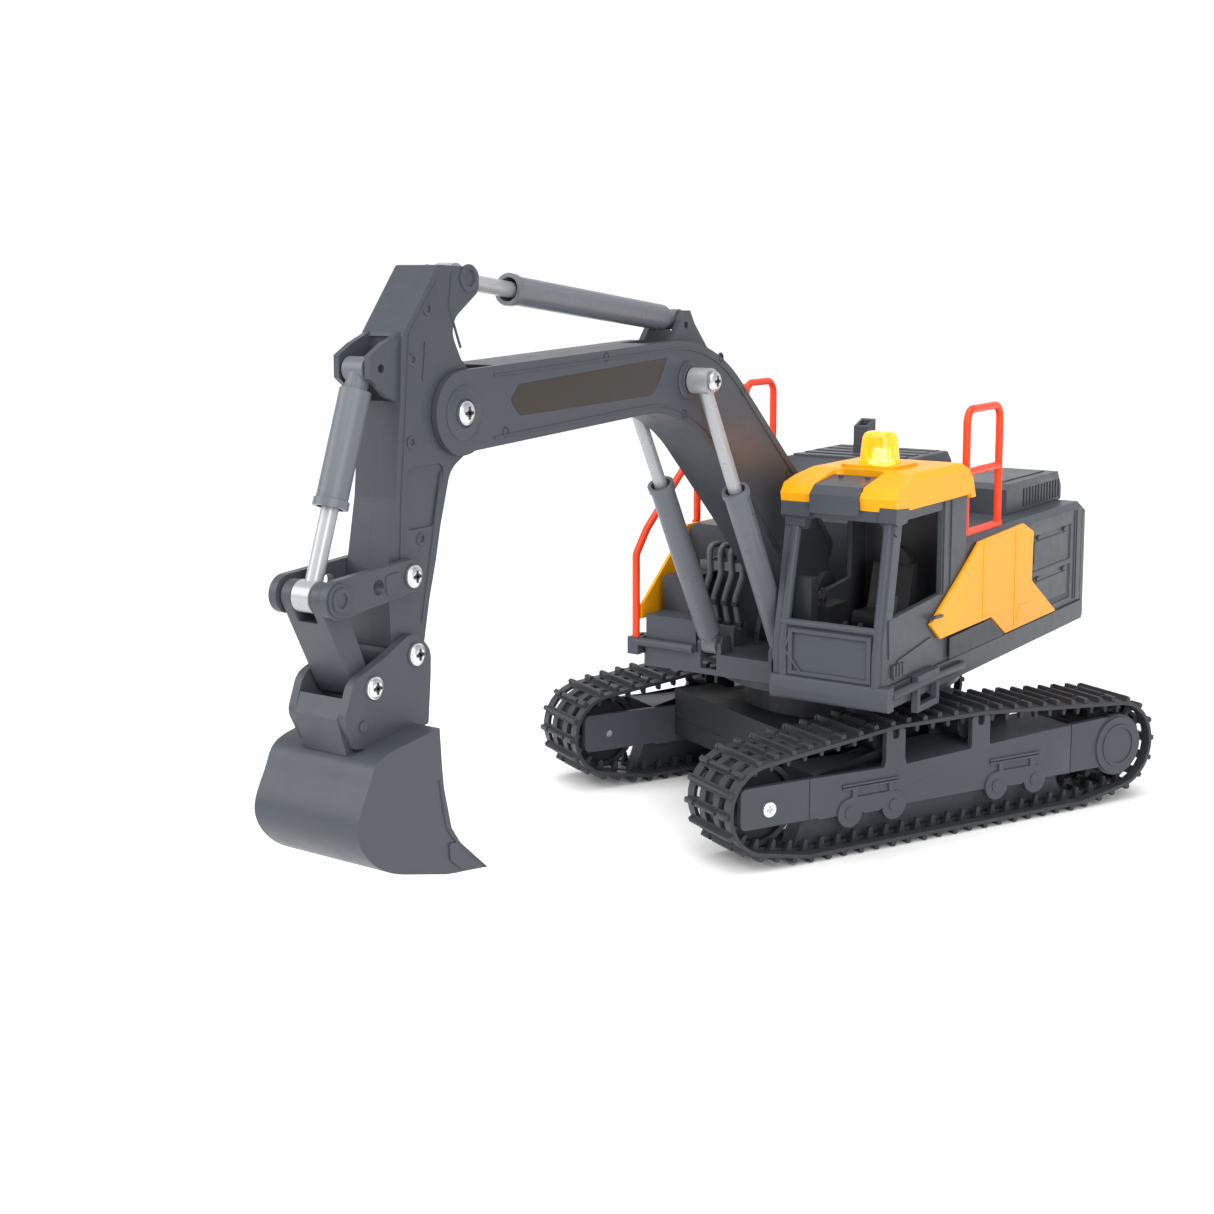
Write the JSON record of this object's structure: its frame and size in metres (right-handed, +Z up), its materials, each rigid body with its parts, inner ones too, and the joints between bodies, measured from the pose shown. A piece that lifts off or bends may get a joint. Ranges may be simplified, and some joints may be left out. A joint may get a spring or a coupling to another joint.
{
  "type": "toy excavator",
  "caption": "Remote-controlled toy excavator on tracks, with a slewing upper body, folding boom, stick and bucket, yellow trim and a lit beacon.",
  "frame": {"origin": "on the ground under the middle of the whole toy's bounding box", "axes": "+X along the boom, from the counterweight to the bucket; +Y to the machine's left, the cab side; +Z up"},
  "size_m": [0.572, 0.2881, 0.2788],
  "materials": {
    "charcoal_plastic": "moulded, satin with a fine grain",
    "yellow_plastic": "moulded, semi-gloss",
    "red_plastic": "moulded, semi-gloss",
    "black_plastic": "moulded, matte",
    "track_plastic": "flexible moulding, satin",
    "silver_rod": "satin silver",
    "screw_steel": "zinc plated",
    "amber_lens": "clear amber",
    "lamp_white": "clear, lit",
    "gear_nylon": "natural",
    "motor_case": "plain",
    "circuit_green": "solder mask",
    "cell_jacket": "printed sleeve"
  },
  "bodies": {
    "chassis": {"chassis_upper_shell": "charcoal_plastic", "chassis_lower_shell": "charcoal_plastic", "battery_door": "charcoal_plastic", "battery_cells": "cell_jacket", "slew_ring_gear": "gear_nylon", "left_frame_outer": "charcoal_plastic", "left_frame_inner": "charcoal_plastic", "right_frame_outer": "charcoal_plastic", "right_frame_inner": "charcoal_plastic", "left_track_belt": "track_plastic", "right_track_belt": "track_plastic", "drive_gearmotors": "motor_case", "idler_axles": "screw_steel"},
    "power_switch": {"power_switch": "black_plastic"},
    "left_sprocket": {"left_sprocket": "black_plastic"},
    "left_idler": {"left_idler": "black_plastic"},
    "left_front_roller": {"left_front_roller": "black_plastic"},
    "left_rear_roller": {"left_rear_roller": "black_plastic"},
    "right_sprocket": {"right_sprocket": "black_plastic"},
    "right_idler": {"right_idler": "black_plastic"},
    "right_front_roller": {"right_front_roller": "black_plastic"},
    "right_rear_roller": {"right_rear_roller": "black_plastic"},
    "upper": {"deck_frame": "charcoal_plastic", "house_shell": "charcoal_plastic", "counterweight": "charcoal_plastic", "side_hood": "charcoal_plastic", "engine_hood": "charcoal_plastic", "exhaust_stack": "charcoal_plastic", "left_side_panel": "yellow_plastic", "right_side_panel": "yellow_plastic", "right_toolbox": "charcoal_plastic", "hose_bundle": "black_plastic", "left_handrail": "red_plastic", "right_handrail": "red_plastic", "cab_shell": "charcoal_plastic", "cab_roof": "yellow_plastic", "cab_seat": "black_plastic", "cab_console": "black_plastic", "beacon_lens": "amber_lens", "beacon_lamp": "lamp_white", "control_board": "circuit_green", "slew_gearmotor": "motor_case", "boom_gearmotor": "motor_case"},
    "slew_pinion": {"slew_pinion": "gear_nylon"},
    "boom": {"boom_left_half": "charcoal_plastic", "boom_right_half": "charcoal_plastic", "boom_bolts": "screw_steel"},
    "boom_rods": {"boom_rods": "silver_rod"},
    "boom_barrels": {"boom_barrels": "charcoal_plastic"},
    "stick": {"stick_left_half": "charcoal_plastic", "stick_right_half": "charcoal_plastic", "stick_bolts": "screw_steel"},
    "stick_rod": {"stick_rod": "silver_rod"},
    "stick_barrel": {"stick_barrel": "charcoal_plastic"},
    "rocker_link": {"rocker_link": "charcoal_plastic"},
    "push_link": {"push_link": "charcoal_plastic"},
    "bucket_rod": {"bucket_rod": "silver_rod"},
    "bucket_barrel": {"bucket_barrel": "charcoal_plastic"},
    "bucket": {"bucket": "charcoal_plastic", "bucket_bolt": "screw_steel"}
  },
  "joints": [
    {"name": "slew", "type": "hinge", "parent": "chassis", "child": "upper", "pos_m": [-0.1045, 0, 0.07], "axis": [0, 0, 1], "continuous": true},
    {"name": "slew_pinion", "type": "hinge", "parent": "upper", "child": "slew_pinion", "pos_m": [-0.1375, 0, 0.054], "axis": [0, 0, 1], "continuous": true},
    {"name": "power_switch", "type": "slide", "parent": "chassis", "child": "power_switch", "axis": [0.4493, 0.8934, 0], "range_m": [0, 0.004]},
    {"name": "left_track_drive", "type": "hinge", "parent": "chassis", "child": "left_sprocket", "pos_m": [-0.17086, 0.11733, 0.0305], "axis": [0.4493, 0.8934, 0], "continuous": true},
    {"name": "left_idler_spin", "type": "hinge", "parent": "chassis", "child": "left_idler", "pos_m": [0.02434, 0.01915, 0.0295], "axis": [0.4493, 0.8934, 0], "continuous": true},
    {"name": "left_front_roller_spin", "type": "hinge", "parent": "chassis", "child": "left_front_roller", "pos_m": [-0.04132, 0.05217, 0.051], "axis": [0.4493, 0.8934, 0], "continuous": true},
    {"name": "left_rear_roller_spin", "type": "hinge", "parent": "chassis", "child": "left_rear_roller", "pos_m": [-0.08867, 0.07599, 0.051], "axis": [0.4493, 0.8934, 0], "continuous": true},
    {"name": "right_track_drive", "type": "hinge", "parent": "chassis", "child": "right_sprocket", "pos_m": [-0.23826, -0.01668, 0.0305], "axis": [0.4493, 0.8934, 0], "continuous": true},
    {"name": "right_idler_spin", "type": "hinge", "parent": "chassis", "child": "right_idler", "pos_m": [-0.04306, -0.11485, 0.0295], "axis": [0.4493, 0.8934, 0], "continuous": true},
    {"name": "right_front_roller_spin", "type": "hinge", "parent": "chassis", "child": "right_front_roller", "pos_m": [-0.10872, -0.08183, 0.051], "axis": [0.4493, 0.8934, 0], "continuous": true},
    {"name": "right_rear_roller_spin", "type": "hinge", "parent": "chassis", "child": "right_rear_roller", "pos_m": [-0.15607, -0.05802, 0.051], "axis": [0.4493, 0.8934, 0], "continuous": true},
    {"name": "boom_lift", "type": "hinge", "parent": "upper", "child": "boom", "pos_m": [-0.0825, -0.012, 0.11], "axis": [0, -1, 0], "range_deg": [-9, 28]},
    {"name": "stick_swing", "type": "hinge", "parent": "boom", "child": "stick", "pos_m": [0.2095, -0.012, 0.223], "axis": [0, -1, 0], "range_deg": [-27, 21]},
    {"name": "bucket_curl", "type": "hinge", "parent": "stick", "child": "bucket", "pos_m": [0.2405, -0.012, 0.137], "axis": [0, -1, 0], "range_deg": [-50, 40]},
    {"name": "boom_rod_pivot", "type": "hinge", "parent": "boom", "child": "boom_rods", "pos_m": [0.0505, -0.012, 0.227], "axis": [0, -1, 0], "range_deg": [-0.122, 0.046]},
    {"name": "boom_cylinder", "type": "slide", "parent": "boom_rods", "child": "boom_barrels", "axis": [-0.4941, 0, -0.8694], "range_m": [-0.00917, 0.02851]},
    {"name": "stick_rod_pivot", "type": "hinge", "parent": "stick", "child": "stick_rod", "pos_m": [0.2025, -0.012, 0.273], "axis": [0, -1, 0], "range_deg": [-20.84, 26.79]},
    {"name": "stick_cylinder", "type": "slide", "parent": "stick_rod", "child": "stick_barrel", "axis": [-0.9928, 0, -0.1201], "range_m": [-0.01785, 0.02295]},
    {"name": "rocker_pivot", "type": "hinge", "parent": "stick", "child": "rocker_link", "pos_m": [0.2415, -0.012, 0.166], "axis": [0, -1, 0], "range_deg": [-34.19, 27.35]},
    {"name": "push_link_pivot", "type": "hinge", "parent": "rocker_link", "child": "push_link", "pos_m": [0.2795, -0.012, 0.163], "axis": [0, -1, 0], "range_deg": [-19.05, 23.81]},
    {"name": "bucket_rod_pivot", "type": "hinge", "parent": "rocker_link", "child": "bucket_rod", "pos_m": [0.2795, -0.012, 0.163], "axis": [0, -1, 0], "range_deg": [-21.94, 27.42]},
    {"name": "bucket_cylinder", "type": "slide", "parent": "bucket_rod", "child": "bucket_barrel", "axis": [-0.3325, 0, 0.9431], "range_m": [-0.01585, 0.01981]}
  ],
  "couplings": [
    {"joint": "slew_pinion", "follows": "slew", "ratio": -4.6667},
    {"joint": "boom_rod_pivot", "follows": "boom_lift", "ratio": -0.004},
    {"joint": "boom_cylinder", "follows": "boom_lift", "m_per_rad": 0.05833},
    {"joint": "stick_rod_pivot", "follows": "stick_swing", "ratio": -0.9919},
    {"joint": "stick_cylinder", "follows": "stick_swing", "m_per_rad": -0.048685},
    {"joint": "rocker_pivot", "follows": "bucket_curl", "ratio": 0.6835},
    {"joint": "push_link_pivot", "follows": "bucket_curl", "ratio": -0.476},
    {"joint": "bucket_rod_pivot", "follows": "bucket_curl", "ratio": -0.5482},
    {"joint": "bucket_cylinder", "follows": "bucket_curl", "m_per_rad": -0.022692},
    {"joint": "left_idler_spin", "follows": "left_track_drive", "ratio": 1.0481},
    {"joint": "left_front_roller_spin", "follows": "left_track_drive", "ratio": 2.7949},
    {"joint": "left_rear_roller_spin", "follows": "left_track_drive", "ratio": 2.7949},
    {"joint": "right_idler_spin", "follows": "right_track_drive", "ratio": 1.0481},
    {"joint": "right_front_roller_spin", "follows": "right_track_drive", "ratio": 2.7949},
    {"joint": "right_rear_roller_spin", "follows": "right_track_drive", "ratio": 2.7949}
  ]
}
